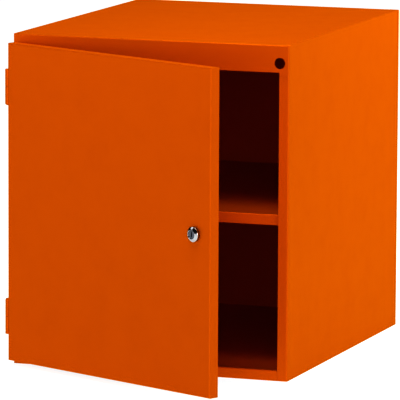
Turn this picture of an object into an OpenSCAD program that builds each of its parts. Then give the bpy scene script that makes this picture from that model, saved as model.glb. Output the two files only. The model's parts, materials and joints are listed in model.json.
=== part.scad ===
// Under-bench cupboard: sheet-steel carcass with one hinged door, a fixed shelf and a cam lock.
// The origin is the centre of the carcass's footprint, +Z is up and the door faces -Y.

/* [Carcass] */
// Width of the carcass, left to right
body_w = 435; // [360:5:600]
// Depth of the carcass, front to back
body_d = 540; // [360:5:700]
// Height of the carcass
body_h = 500; // [420:5:800]
// Thickness of the sheet steel
sheet = 1.2; // [1:0.1:1.6]
// Outer radius of the folds
fold_r = 2; // [1.8:0.1:4]
// Height of the top rail above the opening
rail_h = 40.5; // [36:0.5:60]
// How much further down the ends of the top rail reach
rail_ear = 5.5; // [3:0.5:12]
// Width of the front stiles
stile_w = 15.5; // [12:0.5:20]
// Height of the floor above the ground, and of the front lip
base_lip = 15.8; // [12:0.1:40]
// Width of the flanges round the back panel
rear_flange = 15; // [10:1:30]
// Leg of the angles between roof and sides
corner_leg = 15; // [10:1:25]
// Open seam between two welded sheets
seam = 0.3; // [0.2:0.1:0.6]

/* [Base stiffener] */
// Width of the channel's web
base_hat_w = 60; // [40:5:120]
// Width of each of its flanges
base_hat_flange = 14; // [8:1:25]

/* [Shelf] */
// Height of the shelf's top face above the ground
shelf_z = 247.5; // [150:0.5:350]
// Height of the shelf's front and rear lips
shelf_lip = 16; // [10:0.5:30]
// Gap between the shelf and the sides
shelf_gap = 0.6; // [0.4:0.1:2]
// Gap between the shelf and the back panel
shelf_back_gap = 2; // [1:0.5:10]
// Legs of the shelf brackets
bracket_leg = 15; // [12:1:25]
// Distance of the brackets' ends from the shelf's lips
bracket_inset = 6; // [3:1:40]
// Distance of the shelf screws from the ends of the brackets
screw_inset = 30; // [10:1:100]
// Shank diameter of the shelf screws
screw_d = 4; // [3:0.5:5]
// Head diameter of the shelf screws
screw_head_d = 8.4; // [7:0.2:11]
// Head height of the shelf screws
screw_head_h = 2.2; // [1.5:0.1:3]
// Length of the shelf screws under the head
screw_l = 8; // [5:1:14]
// Clearance round the shelf screws in their holes, on the radius
screw_fit = 0.05; // [0.02:0.01:0.2]

/* [Door] */
// Thickness of the door
door_t = 18; // [16:0.5:25]
// How far the door stands open, in degrees
door_open = 26; // [5:1:150]
// Gap between the closed door and the carcass's front
door_gap = 2; // [1.6:0.1:4]
// How far the door's sides stay inside the carcass's sides
door_side_gap = 1.2; // [0.8:0.1:3]
// Distance from the ground to the door's lower edge
door_bottom = 8; // [3:0.5:14]
// Distance from the door's upper edge to the top of the carcass
door_top = 12; // [4:0.5:30]
// Width of the returns round the door's back
door_return = 15; // [10:1:22]
// Width of the door stiffener's web
door_hat_w = 60; // [40:5:120]
// Width of each of its flanges
door_hat_flange = 16; // [8:1:30]
// Diameter of the rubber pads on the door's back
buffer_d = 9; // [6:0.5:10]
// Thickness of the rubber pads
buffer_t = 1.6; // [1:0.1:1.6]
// Distance of the rubber pads from the door's upper and lower edges
buffer_inset = 60; // [20:5:120]

/* [Hinges] */
// Height of each hinge
hinge_h = 53; // [40:1:80]
// Distance of each hinge from the door's upper or lower edge
hinge_inset = 39.5; // [20:0.5:80]
// Outer radius of the knuckles
knuckle_r = 3.75; // [3.2:0.05:4.5]
// Radius of the hinge pins
pin_r = 2; // [1.6:0.1:2.2]
// Running clearance between pin and door knuckle, on the radius
pin_fit = 0.05; // [0.02:0.01:0.08]
// Clearance between the knuckles and the door's side
knuckle_gap = 0.4; // [0.3:0.05:0.8]
// Gap between the two knuckles of a hinge
knuckle_split = 0.3; // [0.2:0.1:0.6]
// Thickness of the hinge leaves
leaf_t = 2; // [1.5:0.1:2.2]
// Length of the body leaf on the carcass's side
leaf_body_l = 24; // [15:1:60]
// Distance of the door leaf's end from the door's back
leaf_door_inset = 2.5; // [1:0.5:6]
// Radius of the pin's head
pin_head_r = 3.4; // [2.8:0.1:4]
// Height of the pin's head
pin_head_h = 1.6; // [1:0.1:3]

/* [Lock] */
// Distance of the lock from the door's free edge
lock_edge = 32.4; // [28:0.2:40]
// Height of the lock above the door's lower edge
lock_up = 236.6; // [150:0.2:350]
// Diameter of the threaded barrel
barrel_d = 16; // [15:0.5:18]
// Clearance round the barrel in its hole, on the radius
barrel_fit = 0.15; // [0.1:0.05:0.4]
// Diameter of the chrome bezel
bezel_d = 22.5; // [20:0.5:26]
// How far the bezel stands out of the door
bezel_h = 7; // [4:0.5:9]
// Width of the bezel's rounded shoulder
bezel_round = 1.6; // [0.8:0.1:2]
// Thickness of the lock washer
washer_t = 1; // [0.6:0.1:1.5]
// Diameter of the lock washer
washer_d = 22; // [20:0.5:26]
// Width across the flats of the barrel's nut
nut_af = 20; // [19:0.5:24]
// Thickness of the barrel's nut
nut_t = 4; // [3:0.5:5]
// Diameter of the plug's head
plug_head_d = 13; // [12:0.5:14]
// Thickness of the plug's head
plug_head_t = 3; // [2:0.5:3.5]
// Diameter of the plug's shank
plug_d = 11; // [10:0.5:11.5]
// Running clearance round the plug, on the radius
plug_fit = 0.05; // [0.02:0.01:0.08]
// How far the plug's face lies below the bezel's rim
plug_sunk = 0.8; // [0.2:0.1:1.5]
// Width of the key slot
key_w = 1.8; // [1:0.1:3]
// Length of the key slot
key_l = 7.6; // [6:0.2:9]
// Depth of the key slot
key_depth = 9; // [4:0.5:12]
// Thickness of the cam
cam_t = 2.5; // [2:0.1:3]
// Width of the cam
cam_w = 15; // [14:0.5:18]
// Reach of the cam from the lock's axis
cam_reach = 29; // [27:0.5:30]
// Clearance between the cam and the back of the stile
cam_gap = 0.8; // [0.5:0.1:1.5]
// Side of the square on the plug that carries the cam
square_w = 7; // [6:0.2:7.4]
// Clearance round that square in the cam
square_fit = 0.1; // [0.05:0.05:0.2]
// Diameter of the cam screw's head
cam_screw_head_d = 10; // [9:0.5:12]
// Height of the cam screw's head
cam_screw_head_h = 3; // [2:0.5:3.5]
// Diameter of the cam screw's shank
cam_screw_d = 4; // [3:0.5:4.5]
// Length of the cam screw under its head
cam_screw_l = 9; // [6:0.5:14]
// Clearance between the cam screw and the shelf's front lip
shelf_clear = 2.5; // [1:0.5:20]

/* [Rail hole] */
// Distance of the empty lock hole from the carcass's right side
hole_edge = 14.8; // [12:0.2:30]
// Distance of the empty lock hole below the top
hole_down = 26.8; // [20:0.2:28]

/* [Colours] */
// Powder coat of the carcass and the door
paint = "OrangeRed"; // [OrangeRed, Tomato, SteelBlue, LightGrey]
// Bright metal of the lock
bright = "Silver"; // [Silver, Gainsboro, LightSteelBlue]

/* [Hidden] */
$fn = 64;

// Overrun of a cutting solid past the face that it cuts
over = 1;
// Faces of the carcass
left_x = -body_w/2;
right_x = body_w/2;
front_y = -body_d/2;
back_y = body_d/2;
// Inner faces of the side sheets, and the front of the back panel
inner_w = body_w - 2*sheet;
inner_back_y = back_y - 2*sheet;
// Height of the stiles, up to the seam under the rail's ends
stile_h = body_h - rail_h - rail_ear - seam;
// Size of the door and the place of its outer faces when it is closed
door_w = body_w - 2*door_side_gap;
door_h = body_h - door_bottom - door_top;
door_x = left_x + door_side_gap;
door_y = front_y - door_gap - door_t;
// Hinge axis, beside the door's front edge
axis_x = door_x - knuckle_gap - knuckle_r;
axis_y = door_y + knuckle_r;
// Hinge leaves: height of one knuckle and the place of each hinge
half_hinge = (hinge_h - knuckle_split)/2;
upper_hinge_z = body_h - door_top - hinge_inset - hinge_h/2;
lower_hinge_z = door_bottom + hinge_inset + hinge_h/2;
// Lock axis when the door is closed
lock_x = door_x + door_w - lock_edge;
lock_z = door_bottom + lock_up;
barrel_hole_r = barrel_d/2 + barrel_fit;
// Depths behind the door's front face: the cam's front, and the end of the barrel
cam_front = door_t + door_gap + sheet + cam_gap;
barrel_gap = 0.3;
barrel_end = cam_front - barrel_gap;
// Shelf: its front keeps clear of the lock's cam screw in the closed door
shelf_front_y = front_y + sheet + cam_gap + cam_t + cam_screw_head_h + shelf_clear;
shelf_d = inner_back_y - shelf_back_gap - shelf_front_y;
shelf_w = inner_w - 2*shelf_gap;
bracket_y = shelf_front_y + fold_r + bracket_inset;
bracket_l = shelf_d - 2*(fold_r + bracket_inset);
screw_hole_r = screw_d/2 + screw_fit;
screw_x = inner_w/2 - bracket_leg/2 - fold_r/2;

// Quarter fold with its outer corner at the origin and its legs along +X and +Y
module fold_2d() {
    intersection() {
        translate([fold_r, fold_r]) difference() {
            circle(fold_r);
            circle(fold_r - sheet);
        }
        square(fold_r);
    }
}

// Angle with legs a along +X and b along +Y
module angle_2d(a, b) {
    translate([fold_r, 0]) square([a - fold_r, sheet]);
    translate([0, fold_r]) square([sheet, b - fold_r]);
    fold_2d();
}

// Channel with its web along +Y, and lips a at the start and b at the end along +X
module channel_2d(a, web, b) {
    angle_2d(a, web/2);
    translate([0, web]) mirror([0, 1]) angle_2d(b, web/2);
}

// Hat channel standing on its web, which is centred on the Y axis, with its flanges at height h
module hat_2d(web, h, flange) {
    for (side = [0, 1]) mirror([side, 0]) {
        square([web/2 - fold_r, sheet]);
        translate([web/2, 0]) mirror([1, 0]) angle_2d(fold_r + over, h/2);
        translate([web/2 - sheet, h]) mirror([0, 1]) angle_2d(flange, h/2);
    }
}

// Rectangle with round corners
module round_rect_2d(w, d, r) {
    translate([r, 0]) square([w - 2*r, d]);
    translate([0, r]) square([w, d - 2*r]);
    for (x = [r, w - r], y = [r, d - r]) translate([x, y]) circle(r);
}

// Extrudes a profile along +X: the profile's x becomes Y and its y becomes Z
module along_x(l) {
    rotate([90, 0, 90]) linear_extrude(l) children();
}

// Extrudes a profile along +Y: the profile's x stays X and its y becomes Z
module along_y(l) {
    translate([0, l, 0]) rotate([90, 0, 0]) linear_extrude(l) children();
}

// Turns a piece of the closed door to where the door stands
module on_door() {
    translate([axis_x, axis_y, 0]) rotate([0, 0, -door_open])
        translate([-axis_x, -axis_y, 0]) children();
}

// Places a piece on the lock's axis, with +Z out of the door and the door's front at zero
module on_lock() {
    on_door() translate([lock_x, door_y, lock_z]) rotate([90, 0, 0]) children();
}

module top_panel() {
    color(paint) difference() {
        intersection() {
            union() {
                // Rail and roof
                translate([left_x, front_y, body_h]) along_x(body_w)
                    mirror([0, 1]) rotate(-90) mirror([1, 0])
                        angle_2d(rail_h + rail_ear, body_d - fold_r);
                // Roof's rear edge beside the flange
                for (x = [left_x, right_x - rear_flange - seam])
                    translate([x, back_y - fold_r - over, body_h - sheet])
                        cube([rear_flange + seam, fold_r + over, sheet]);
                // Rear flange between those of the sides
                translate([left_x + rear_flange + seam, back_y, body_h])
                    along_x(body_w - 2*(rear_flange + seam))
                        rotate(180) angle_2d(fold_r + over, rear_flange);
            }
            translate([left_x, front_y, 0]) linear_extrude(body_h + over)
                round_rect_2d(body_w, body_d, fold_r);
        }
        // Opening between the rail's ends
        translate([left_x + stile_w, front_y - over, body_h - rail_h - rail_ear - over])
            cube([body_w - 2*stile_w, sheet + 2*over, rail_ear + over]);
        // Empty lock hole
        translate([right_x - hole_edge, front_y - over, body_h - hole_down])
            rotate([-90, 0, 0]) cylinder(h = sheet + 2*over, r = barrel_hole_r);
    }
}

// Left-hand side sheet; the right-hand one is its mirror image
module side_sheet() {
    translate([left_x, front_y, 0]) {
        linear_extrude(stile_h) channel_2d(stile_w, body_d, rear_flange);
        // Above the stile the sheet stops behind the rail
        translate([0, 0, stile_h]) linear_extrude(body_h - sheet - stile_h)
            intersection() {
                channel_2d(stile_w, body_d, rear_flange);
                union() {
                    translate([0, sheet]) square([sheet, body_d/2]);
                    translate([0, body_d/2]) square([rear_flange, body_d/2]);
                }
            }
    }
}

module side_panel_left() {
    color(paint) side_sheet();
}

module side_panel_right() {
    color(paint) mirror([1, 0, 0]) side_sheet();
}

module base_panel() {
    lip_w = body_w - 2*(stile_w + seam);
    floor_front = front_y + fold_r + seam;
    floor_back = back_y - fold_r - seam;
    color(paint) {
        // Floor with front lip between the stiles
        intersection() {
            translate([-lip_w/2, front_y, base_lip]) along_x(lip_w)
                rotate(-90) channel_2d(base_lip, body_d, base_lip);
            translate([-lip_w/2, front_y, 0]) cube([lip_w, body_d, base_lip]);
        }
        // Floor with side flanges between the side sheets
        translate([-inner_w/2, floor_front, base_lip]) along_y(floor_back - floor_front)
            rotate(-90) channel_2d(base_lip, inner_w, base_lip);
    }
}

module base_stiffener() {
    l = inner_w - 2*sheet - 2*seam;
    color(paint) translate([-l/2, 0, 0]) along_x(l)
        hat_2d(base_hat_w, base_lip - sheet, base_hat_flange);
}

module back_panel() {
    margin = fold_r + seam;
    color(paint) translate([left_x + margin, inner_back_y, base_lip])
        cube([body_w - 2*margin, sheet, body_h - base_lip - margin]);
}

module corner_angles() {
    start_y = front_y + fold_r + corner_leg/2;
    l = inner_back_y - corner_leg/2 - start_y;
    color(paint) for (side = [0, 1]) mirror([side, 0, 0])
        translate([-inner_w/2, start_y, body_h - sheet]) along_y(l)
            mirror([0, 1]) angle_2d(corner_leg, corner_leg);
}

// Places a piece at each shelf screw, with the shelf's top at zero
module at_screws() {
    first_y = bracket_y + screw_inset;
    last_y = bracket_y + bracket_l - screw_inset;
    for (x = [-screw_x, screw_x], y = [first_y, last_y])
        translate([x, y, shelf_z]) children();
}

// Holes for the shelf screws, through the shelf and the brackets
module screw_holes() {
    depth = 2*sheet + over;
    at_screws() translate([0, 0, -depth]) cylinder(h = depth + over, r = screw_hole_r);
}

module shelf() {
    color(paint) difference() {
        translate([-shelf_w/2, shelf_front_y, shelf_z]) along_x(shelf_w)
            rotate(-90) channel_2d(shelf_lip, shelf_d, shelf_lip);
        screw_holes();
    }
}

// Left-hand bracket; the right-hand one is its mirror image
module bracket() {
    difference() {
        translate([-inner_w/2, bracket_y, shelf_z - sheet]) along_y(bracket_l)
            mirror([0, 1]) angle_2d(bracket_leg, bracket_leg);
        screw_holes();
    }
}

module shelf_bracket_left() {
    color(paint) bracket();
}

module shelf_bracket_right() {
    color(paint) mirror([1, 0, 0]) bracket();
}

module shelf_screws() {
    color(bright) at_screws() {
        rotate_extrude() button_2d(screw_head_d/2, screw_head_h);
        translate([0, 0, -screw_l]) cylinder(h = screw_l, d = screw_d);
    }
}

// Half section of a domed head of radius r and height h, standing on its flat face
module button_2d(r, h) {
    sphere_r = (r*r + h*h)/(2*h);
    intersection() {
        translate([0, h - sphere_r]) circle(sphere_r);
        square([r, h]);
    }
}

// One leaf and its knuckle, centred on the axis and reaching up from zero.
// The leaf lies between x0 and x0 + leaf_t and runs to y1; bore is the radius round the pin.
module leaf(x0, y1, bore) {
    difference() {
        union() {
            cylinder(h = half_hinge, r = knuckle_r);
            translate([x0, 0, 0]) cube([leaf_t, y1, half_hinge]);
        }
        translate([0, 0, -over]) cylinder(h = half_hinge + 2*over, r = bore);
    }
}

// The carcass's leaf lies on the outside of the left side sheet
module body_leaf() {
    leaf(left_x - axis_x - leaf_t, front_y + leaf_body_l - axis_y, pin_r);
}

// The door's leaf lies on the door's left side
module door_leaf() {
    leaf(door_x - axis_x - leaf_t, door_t - knuckle_r - leaf_door_inset, pin_r + pin_fit);
}

// Pin from the head at its lower end up through both knuckles
module hinge_pin() {
    translate([0, 0, -hinge_h/2]) cylinder(h = hinge_h, r = pin_r);
    translate([0, 0, -hinge_h/2]) rotate([180, 0, 0])
        rotate_extrude() button_2d(pin_head_r, pin_head_h);
}

// The upper hinge has the carcass's knuckle below and the door's above; the lower hinge is
// its mirror image, so the door can't lift off
module upper_hinge() {
    translate([axis_x, axis_y, upper_hinge_z]) children();
}

module lower_hinge() {
    translate([axis_x, axis_y, lower_hinge_z]) mirror([0, 0, 1]) children();
}

module hinge_upper_body_leaf() {
    color(paint) upper_hinge() translate([0, 0, -hinge_h/2]) body_leaf();
}

module hinge_lower_body_leaf() {
    color(paint) lower_hinge() translate([0, 0, -hinge_h/2]) body_leaf();
}

module hinge_upper_pin() {
    color(paint) upper_hinge() hinge_pin();
}

module hinge_lower_pin() {
    color(paint) lower_hinge() hinge_pin();
}

module hinge_upper_door_leaf() {
    color(paint) on_door() upper_hinge() translate([0, 0, knuckle_split/2]) door_leaf();
}

module hinge_lower_door_leaf() {
    color(paint) on_door() lower_hinge() translate([0, 0, knuckle_split/2]) door_leaf();
}

// Block with rounded edges, except that its corners are mitred like folded sheet
module folded_block(w, d, h, r) {
    intersection() {
        linear_extrude(h) round_rect_2d(w, d, r);
        along_x(w) round_rect_2d(d, h, r);
    }
}

// Open seam on the mitre between two of the door's returns, at the corner at the origin
module mitre_seam() {
    rotate([0, -45, 0]) translate([0, door_t - fold_r, -seam/2])
        cube([(door_return + over)*sqrt(2), fold_r + over, seam]);
}

module door_pan() {
    color(paint) on_door() translate([door_x, door_y, door_bottom]) difference() {
        folded_block(door_w, door_t, door_h, fold_r);
        translate([sheet, sheet, sheet])
            folded_block(door_w - 2*sheet, door_t - 2*sheet, door_h - 2*sheet, fold_r - sheet);
        translate([door_return, door_t - sheet - over, door_return])
            cube([door_w - 2*door_return, sheet + 2*over, door_h - 2*door_return]);
        for (right = [0, 1], top = [0, 1])
            translate([right*door_w, 0, top*door_h])
                mirror([right, 0, 0]) mirror([0, 0, top]) mitre_seam();
        translate([door_w - lock_edge, -over, lock_up])
            rotate([-90, 0, 0]) cylinder(h = sheet + 2*over, r = barrel_hole_r);
    }
}

module door_stiffener() {
    end_gap = sheet + seam;
    color(paint) on_door()
        translate([door_x + door_w/2, door_y + door_t - sheet, door_bottom + end_gap])
            linear_extrude(door_h - 2*end_gap)
                mirror([0, 1]) hat_2d(door_hat_w, door_t - 2*sheet, door_hat_flange);
}

module door_buffers() {
    color("DimGray") on_door()
        for (z = [door_bottom + buffer_inset, door_bottom + door_h - buffer_inset])
            translate([door_x + door_w - door_return/2, door_y + door_t, z])
                rotate([-90, 0, 0]) cylinder(h = buffer_t, d = buffer_d);
}

module lock_housing() {
    plug_face = bezel_h - plug_sunk;
    color(bright) on_lock() difference() {
        union() {
            translate([0, 0, -barrel_end]) cylinder(h = barrel_end, d = barrel_d);
            rotate_extrude() bezel_2d();
        }
        translate([0, 0, plug_face - plug_head_t]) cylinder(h = bezel_h, r = plug_head_d/2 + plug_fit);
        translate([0, 0, -barrel_end - over])
            cylinder(h = barrel_end + bezel_h + over, r = plug_d/2 + plug_fit);
    }
}

// Half section of the bezel: upright wall, rounded shoulder and flat rim
module bezel_2d() {
    square([bezel_d/2, bezel_h - bezel_round]);
    square([bezel_d/2 - bezel_round, bezel_h]);
    translate([bezel_d/2 - bezel_round, bezel_h - bezel_round])
        intersection() {
            circle(bezel_round);
            square(bezel_round);
        }
}

module lock_washer() {
    color(bright) on_lock() translate([0, 0, -sheet - washer_t]) difference() {
        cylinder(h = washer_t, d = washer_d);
        translate([0, 0, -over]) cylinder(h = washer_t + 2*over, r = barrel_hole_r);
    }
}

module lock_nut() {
    color(bright) on_lock() translate([0, 0, -sheet - washer_t - nut_t]) difference() {
        cylinder(h = nut_t, d = nut_af/cos(30), $fn = 6);
        translate([0, 0, -over]) cylinder(h = nut_t + 2*over, d = barrel_d, $fn = 64);
    }
}

module lock_plug() {
    plug_face = bezel_h - plug_sunk;
    color(bright) on_lock() difference() {
        union() {
            translate([0, 0, plug_face - plug_head_t]) cylinder(h = plug_head_t, d = plug_head_d);
            translate([0, 0, -cam_front]) cylinder(h = cam_front + plug_face - plug_head_t, d = plug_d);
            translate([-square_w/2, -square_w/2, -cam_front - cam_t]) cube([square_w, square_w, cam_t]);
        }
        translate([-key_w/2, -key_l/2, plug_face - key_depth]) cube([key_w, key_l, key_depth + over]);
        translate([0, 0, -cam_front - cam_t - over])
            cylinder(h = cam_screw_l + over, d = cam_screw_d);
    }
}

// At rest the cam hangs down, unlocked
module lock_cam() {
    hole_w = square_w + 2*square_fit;
    color(bright) on_lock() translate([0, 0, -cam_front - cam_t]) difference() {
        linear_extrude(cam_t) {
            circle(d = cam_w);
            translate([-cam_w/2, -cam_reach]) square([cam_w, cam_reach]);
        }
        translate([-hole_w/2, -hole_w/2, -over]) cube([hole_w, hole_w, cam_t + 2*over]);
    }
}

module cam_screw() {
    back = cam_front + cam_t;
    color(bright) on_lock() translate([0, 0, -back]) {
        cylinder(h = cam_screw_l, d = cam_screw_d);
        translate([0, 0, -cam_screw_head_h]) cylinder(h = cam_screw_head_h, d = cam_screw_head_d);
    }
}

top_panel();
side_panel_left();
side_panel_right();
base_panel();
base_stiffener();
back_panel();
corner_angles();
shelf();
shelf_bracket_left();
shelf_bracket_right();
shelf_screws();
hinge_upper_body_leaf();
hinge_lower_body_leaf();
hinge_upper_pin();
hinge_lower_pin();
door_pan();
door_stiffener();
hinge_upper_door_leaf();
hinge_lower_door_leaf();
lock_housing();
lock_washer();
lock_nut();
door_buffers();
lock_plug();
lock_cam();
cam_screw();
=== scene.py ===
"""Looks of a sheet-steel under-bench cupboard: orange powder coat, one door ajar and a chrome cam lock.

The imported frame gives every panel, fold and joint. This script dresses them, models the lock, the
hinges, the screws and the small fittings in full detail, and sets a plain studio around them.
Sizes are in metres, in the frame's own axes.
"""
import json
import logging
import math
from collections.abc import Callable, Sequence
from dataclasses import dataclass, field
from enum import Enum

import bmesh
import bpy
from mathutils import Matrix, Vector
from mathutils.geometry import tessellate_polygon


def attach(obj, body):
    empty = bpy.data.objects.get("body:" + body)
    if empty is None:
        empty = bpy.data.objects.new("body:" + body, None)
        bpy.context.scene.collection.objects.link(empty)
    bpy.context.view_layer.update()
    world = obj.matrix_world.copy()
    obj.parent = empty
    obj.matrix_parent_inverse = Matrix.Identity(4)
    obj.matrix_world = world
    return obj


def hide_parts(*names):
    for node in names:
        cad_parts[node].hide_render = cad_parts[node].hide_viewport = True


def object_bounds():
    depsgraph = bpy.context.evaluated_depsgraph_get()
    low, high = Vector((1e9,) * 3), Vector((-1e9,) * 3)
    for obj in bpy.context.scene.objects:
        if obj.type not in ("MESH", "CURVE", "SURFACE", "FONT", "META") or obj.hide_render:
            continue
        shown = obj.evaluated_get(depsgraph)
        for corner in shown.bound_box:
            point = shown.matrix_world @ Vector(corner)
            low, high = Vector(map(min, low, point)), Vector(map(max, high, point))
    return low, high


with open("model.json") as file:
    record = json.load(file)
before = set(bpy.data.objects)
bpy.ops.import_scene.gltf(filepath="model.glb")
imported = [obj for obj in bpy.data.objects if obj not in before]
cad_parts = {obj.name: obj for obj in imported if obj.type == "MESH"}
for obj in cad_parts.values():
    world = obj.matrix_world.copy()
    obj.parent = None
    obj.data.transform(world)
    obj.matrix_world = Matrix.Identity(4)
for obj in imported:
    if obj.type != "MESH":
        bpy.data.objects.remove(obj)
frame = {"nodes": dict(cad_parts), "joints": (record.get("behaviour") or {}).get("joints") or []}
CAD_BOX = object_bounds()

PHOTO_WIDTH = 400
log = logging.getLogger("cupboard")

Colour = tuple[float, float, float]
Pair = tuple[float, float]
Outline = list[Pair]
Bend = Callable[[float, float, float], Pair]

# Sockets of a Mix node that mixes colours
MIX_SHARE, MIX_FIRST, MIX_SECOND, MIX_RESULT = 0, 6, 7, 2
# Middle of a noise's range
MIDDLE = 0.5


class Body(Enum):
    """Bodies of the frame that pieces ride on."""

    CABINET = "cabinet"
    DOOR = "door"
    CYLINDER = "lock_cylinder"


class Slot(Enum):
    """The record's material slots."""

    PAINT = "powder_coat_orange"
    ZINC = "zinc_steel"
    CHROME = "lock_chrome"
    RUBBER = "rubber_grey"


class HingeEnd(Enum):
    """The two hinges, by their names in the frame's nodes. They mirror each other."""

    UPPER = "upper"
    LOWER = "lower"


# Node trees


class Tree:
    """Nodes of one material or world."""

    def __init__(self, owner: bpy.types.Material | bpy.types.World) -> None:
        """Empties the owner's node tree.

        Args:
            owner: the material or world that the nodes belong to.
        """
        owner.use_nodes = True
        self.tree = owner.node_tree
        self.tree.nodes.clear()

    def node(self, kind: str, settings: dict | None = None, sockets: dict | None = None) -> bpy.types.Node:
        """Adds a node.

        Args:
            kind: the node's type.
            settings: properties to set first, such as a Math node's operation.
            sockets: values or wires of the input sockets, by name or number.

        Returns:
            The new node.
        """
        made = self.tree.nodes.new(kind)
        for key, value in (settings or {}).items():
            setattr(made, key, value)
        for key, value in (sockets or {}).items():
            if isinstance(value, Wire):
                self.tree.links.new(value.socket, made.inputs[key])
            else:
                made.inputs[key].default_value = value
        return made

    def wire(
        self,
        kind: str,
        settings: dict | None = None,
        sockets: dict | None = None,
        output: str | int = 0,
    ) -> "Wire":
        """Adds a node as node() does, and returns one of its outputs by name or number."""
        return Wire(self, self.node(kind, settings, sockets).outputs[output])

    def object_point(self) -> "Wire":
        """Point on the surface in the object's own coordinates."""
        return self.wire("ShaderNodeTexCoord", output="Object")

    def noise(self, size: float, detail: float = 2.0, roughness: float = 0.5) -> "Wire":
        """Noise between 0 and 1 over the object, in swells of this size and finer octaves."""
        levels = {"Scale": 1 / size, "Detail": detail, "Roughness": roughness}
        return self.wire("ShaderNodeTexNoise", None, {"Vector": self.object_point(), **levels}, "Fac")

    def mix(self, share: "Wire | float", first: "Wire | Colour", second: "Wire | Colour") -> "Wire":
        """Mixes two colours.

        Args:
            share: 0 gives the first colour and 1 the second.
            first: a colour.
            second: another colour.

        Returns:
            The mixed colour.
        """
        ends = {MIX_FIRST: first, MIX_SECOND: second}
        colours = {k: v if isinstance(v, Wire) else (*v, 1.0) for k, v in ends.items()}
        sockets = {MIX_SHARE: share, **colours}
        return self.wire("ShaderNodeMix", {"data_type": "RGBA"}, sockets, MIX_RESULT)

    def surface(self, sockets: dict) -> None:
        """Ends a material's tree in one Principled shader with these sockets."""
        shader = self.wire("ShaderNodeBsdfPrincipled", None, sockets)
        self.node("ShaderNodeOutputMaterial", None, {"Surface": shader})


class Wire:
    """An output socket, on which sums are written as Python expressions."""

    def __init__(self, tree: Tree, socket: bpy.types.NodeSocket) -> None:
        """Holds an output socket and the tree that it is in."""
        self.tree = tree
        self.socket = socket

    def _maths(self, operation: str, first: "Wire | float", second: "Wire | float") -> "Wire":
        """Adds a Math node and returns its result."""
        return self.tree.wire("ShaderNodeMath", {"operation": operation}, {0: first, 1: second})

    def __add__(self, other: "Wire | float") -> "Wire":
        """self + other."""
        return self._maths("ADD", self, other)

    def __radd__(self, other: float) -> "Wire":
        """other + self."""
        return self._maths("ADD", other, self)

    def __sub__(self, other: "Wire | float") -> "Wire":
        """self - other."""
        return self._maths("SUBTRACT", self, other)

    def __rsub__(self, other: float) -> "Wire":
        """other - self."""
        return self._maths("SUBTRACT", other, self)

    def __mul__(self, other: "Wire | float") -> "Wire":
        """self * other."""
        return self._maths("MULTIPLY", self, other)

    def __rmul__(self, other: float) -> "Wire":
        """other * self."""
        return self._maths("MULTIPLY", other, self)

    def above(self, edge: float, width: float) -> "Wire":
        """A soft step.

        Args:
            edge: the value at which the step begins.
            width: how much more takes it to 1.

        Returns:
            0 below the edge, rising to 1.
        """
        settings = {"interpolation_type": "SMOOTHSTEP"}
        sockets = {"Value": self, "From Min": edge, "From Max": edge + width}
        return self.tree.wire("ShaderNodeMapRange", settings, sockets)

    def as_bump(self) -> "Wire":
        """Normal of a surface raised by this height in metres."""
        sockets = {"Height": self, "Distance": 1.0, "Strength": 1.0}
        return self.tree.wire("ShaderNodeBump", None, sockets)


# Finishes


@dataclass(frozen=True)
class PowderCoat:
    """Satin powder coat on sheet steel: orange peel, faint waves of the sheet and light handling marks."""

    name: str = "powder_coat_orange"
    colour: Colour = (0.65, 0.148, 0.0)
    thin_colour: Colour = (0.635, 0.143, 0.0)
    tinted_gloss: float = 0.35
    clear_gloss: float = 0.0
    gloss_tint: Colour = (1.0, 0.85, 0.0)
    roughness: float = 0.42
    roughness_swing: float = 0.08
    peel_size: float = 0.0016
    peel_depth: float = 0.000012
    wave_size: float = 0.16
    wave_depth: float = 0.00025
    mark_size: float = 0.045
    mark_start: float = 0.35
    mark_blend: float = 0.5

    def make(self) -> bpy.types.Material:
        """Builds the material.

        Returns:
            The material.
        """
        material = bpy.data.materials.new(self.name)
        tree = Tree(material)
        peel = tree.noise(self.peel_size, detail=1.0)
        wave = tree.noise(self.wave_size, detail=1.0)
        cloud = tree.noise(self.mark_size, detail=4.0, roughness=0.6)
        marks = cloud.above(self.mark_start, self.mark_blend)
        rough = self.roughness + self.roughness_swing * (cloud - MIDDLE)
        rough += self.roughness_swing * (peel - MIDDLE)
        height = peel * self.peel_depth + wave * self.wave_depth
        tree.surface({
            "Base Color": tree.mix(marks, self.colour, self.thin_colour),
            "Metallic": self.tinted_gloss,
            "Specular IOR Level": self.clear_gloss,
            "Specular Tint": (*self.gloss_tint, 1.0),
            "Roughness": rough,
            "Normal": height.as_bump(),
        })
        return material


@dataclass(frozen=True)
class Plated:
    """Plated metal with fine grain and cloudy dulling."""

    name: str
    colour: Colour
    dull_colour: Colour
    roughness: float
    roughness_swing: float
    grain_size: float
    grain_depth: float
    cloud_grains: float = 12.0

    def make(self) -> bpy.types.Material:
        """Builds the material.

        Returns:
            The material.
        """
        material = bpy.data.materials.new(self.name)
        tree = Tree(material)
        grain = tree.noise(self.grain_size, detail=2.0)
        cloud = tree.noise(self.grain_size * self.cloud_grains, detail=3.0)
        tree.surface({
            "Base Color": tree.mix(cloud, self.colour, self.dull_colour),
            "Metallic": 1.0,
            "Roughness": self.roughness + self.roughness_swing * cloud,
            "Normal": (grain * self.grain_depth).as_bump(),
        })
        return material


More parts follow.
